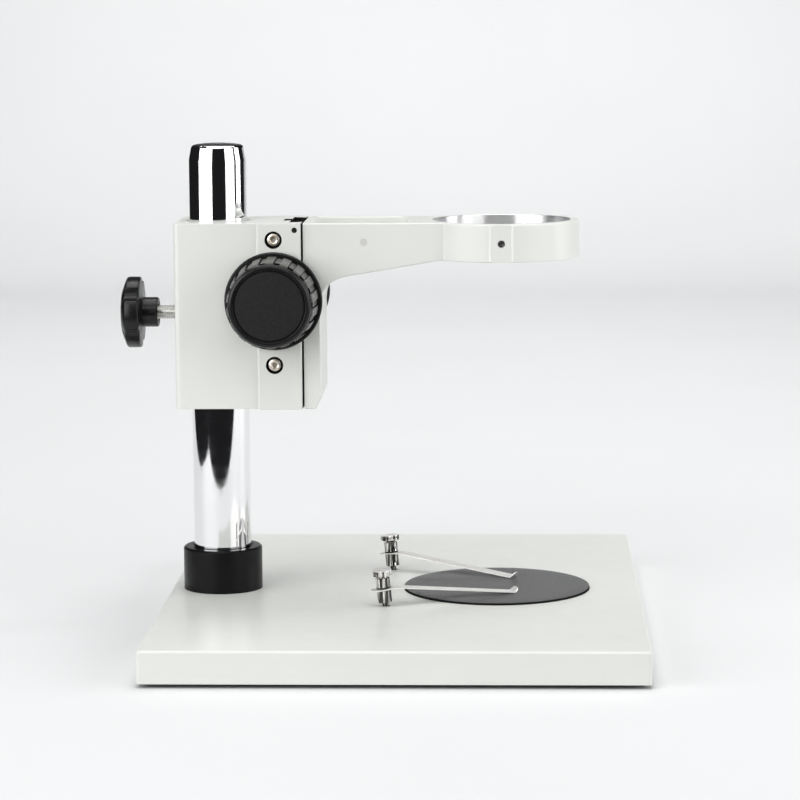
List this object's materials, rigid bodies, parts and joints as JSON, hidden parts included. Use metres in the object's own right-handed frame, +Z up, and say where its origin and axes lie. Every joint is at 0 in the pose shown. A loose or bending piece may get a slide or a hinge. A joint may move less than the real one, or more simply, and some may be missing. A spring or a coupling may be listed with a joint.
{
  "type": "stereo microscope stand",
  "caption": "Pole stand with a flat base, stage disc with spring clips, rack-and-pinion focus block on a clamped sleeve, and an arm that ends in a ring for the optical head.",
  "frame": {"origin": "middle of the bounding box at its bottom, where the rubber feet stand", "axes": "+Z up along the pole; +X from the pole to the head ring; -Y the side with the two side screws and the stop pin"},
  "size_m": [0.2876, 0.338, 0.2687],
  "materials": {
    "base_paint": "satin off-white paint on a cast aluminium plate",
    "head_paint": "satin off-white paint on an aluminium casting",
    "arm_paint": "satin off-white paint on an aluminium casting",
    "stage_top": "matte dark grey disc with a black edge",
    "rubber": "matte black rubber",
    "pole_chrome": "polished hard chrome on steel",
    "black_metal": "satin black anodised",
    "black_steel": "black oxide",
    "zinc_steel": "zinc plated",
    "ground_steel": "ground steel",
    "brass": "machined brass",
    "bronze": "bearing bronze",
    "nickel": "bright nickel on brass",
    "knob_black": "glossy black plastic",
    "knob_satin": "satin black plastic",
    "grip_grey": "black ribbed grip",
    "plug_grey": "light grey plastic"
  },
  "bodies": {
    "stand": {"base_plate": "base_paint", "rubber_feet": "rubber", "foot_screws": "zinc_steel", "pole_collar": "black_metal", "collar_set_screw": "black_steel", "pole": "pole_chrome", "pole_bolt": "zinc_steel", "pole_washer": "zinc_steel"},
    "stage": {"stage_plate": "stage_top"},
    "sleeve": {"bore_liner": "bronze"},
    "head": {"housing": "head_paint", "pinion_carrier": "ground_steel", "shaft_bushes": "bronze", "side_screws": "zinc_steel", "gib_strip": "black_steel", "gib_screws": "black_steel", "stop_pin": "black_steel", "tension_washers": "zinc_steel"},
    "clamp_shoe": {"clamp_pad": "brass"},
    "clamp_handle": {"clamp_knob": "knob_black", "clamp_stud": "zinc_steel"},
    "carriage": {"arm_casting": "arm_paint", "arm_plug": "plug_grey", "dovetail_slide": "black_steel", "slide_screws": "black_steel", "rack": "ground_steel", "rack_screws": "black_steel"},
    "ring_lock": {"ring_set_screw": "zinc_steel"},
    "focus": {"pinion_shaft": "ground_steel", "pinion_gear": "ground_steel", "knob_hub_near": "knob_black", "knob_grip_near": "grip_grey", "knob_cap_near": "knob_satin", "knob_screw_near": "zinc_steel", "knob_hub_far": "knob_black", "knob_grip_far": "grip_grey", "knob_cap_far": "knob_satin", "knob_screw_far": "zinc_steel"},
    "clip_base_near": {"clip_post_near": "nickel", "clip_strip_near": "nickel"},
    "clip_thumb_near": {"clip_screw_near": "nickel"},
    "clip_base_far": {"clip_post_far": "nickel", "clip_strip_far": "nickel"},
    "clip_thumb_far": {"clip_screw_far": "nickel"}
  },
  "joints": [
    {"name": "stage_turn", "type": "hinge", "parent": "stand", "child": "stage", "pos_m": [0.0643, 0, 0.0192], "axis": [0, 0, 1], "continuous": true},
    {"name": "sleeve_height", "type": "slide", "parent": "stand", "child": "sleeve", "axis": [0, 0, 1], "range_m": [-0.078, 0.06]},
    {"name": "head_swing", "type": "hinge", "parent": "sleeve", "child": "head", "pos_m": [-0.0895, 0, 0.1748], "axis": [0, 0, 1], "continuous": true},
    {"name": "clamp_press", "type": "slide", "parent": "head", "child": "clamp_shoe", "axis": [-1, 0, 0], "range_m": [0, 0.00126]},
    {"name": "clamp_turn", "type": "hinge", "parent": "clamp_shoe", "child": "clamp_handle", "pos_m": [-0.125, 0, 0.1749], "axis": [-1, 0, 0], "range_deg": [0, 360]},
    {"name": "focus_travel", "type": "slide", "parent": "head", "child": "carriage", "axis": [0, 0, 1], "range_m": [-0.025, 0.025]},
    {"name": "focus_turn", "type": "hinge", "parent": "head", "child": "focus", "pos_m": [-0.0567, 0, 0.184], "axis": [0, -1, 0], "range_deg": [-239, 239]},
    {"name": "ring_screw", "type": "slide", "parent": "carriage", "child": "ring_lock", "axis": [0, 1, 0], "range_m": [0, 0.002]},
    {"name": "clip_swing_near", "type": "hinge", "parent": "stand", "child": "clip_base_near", "pos_m": [0.0045, -0.0529, 0.0157], "axis": [0, 0, -1], "range_deg": [-12, 100]},
    {"name": "clip_screw_turn_near", "type": "hinge", "parent": "clip_base_near", "child": "clip_thumb_near", "pos_m": [0.0045, -0.0529, 0.0157], "axis": [-0.1031, -0.0468, 0.9936], "range_deg": [0, 360]},
    {"name": "clip_swing_far", "type": "hinge", "parent": "stand", "child": "clip_base_far", "pos_m": [0.0045, 0.0529, 0.0157], "axis": [0, 0, 1], "range_deg": [-12, 100]},
    {"name": "clip_screw_turn_far", "type": "hinge", "parent": "clip_base_far", "child": "clip_thumb_far", "pos_m": [0.0045, 0.0529, 0.0157], "axis": [-0.1031, 0.0468, 0.9936], "range_deg": [0, 360]}
  ],
  "couplings": [
    {"joint": "focus_turn", "follows": "focus_travel", "rad_per_m": 166.67},
    {"joint": "clamp_press", "follows": "clamp_turn", "m_per_rad": 0.00019894}
  ]
}
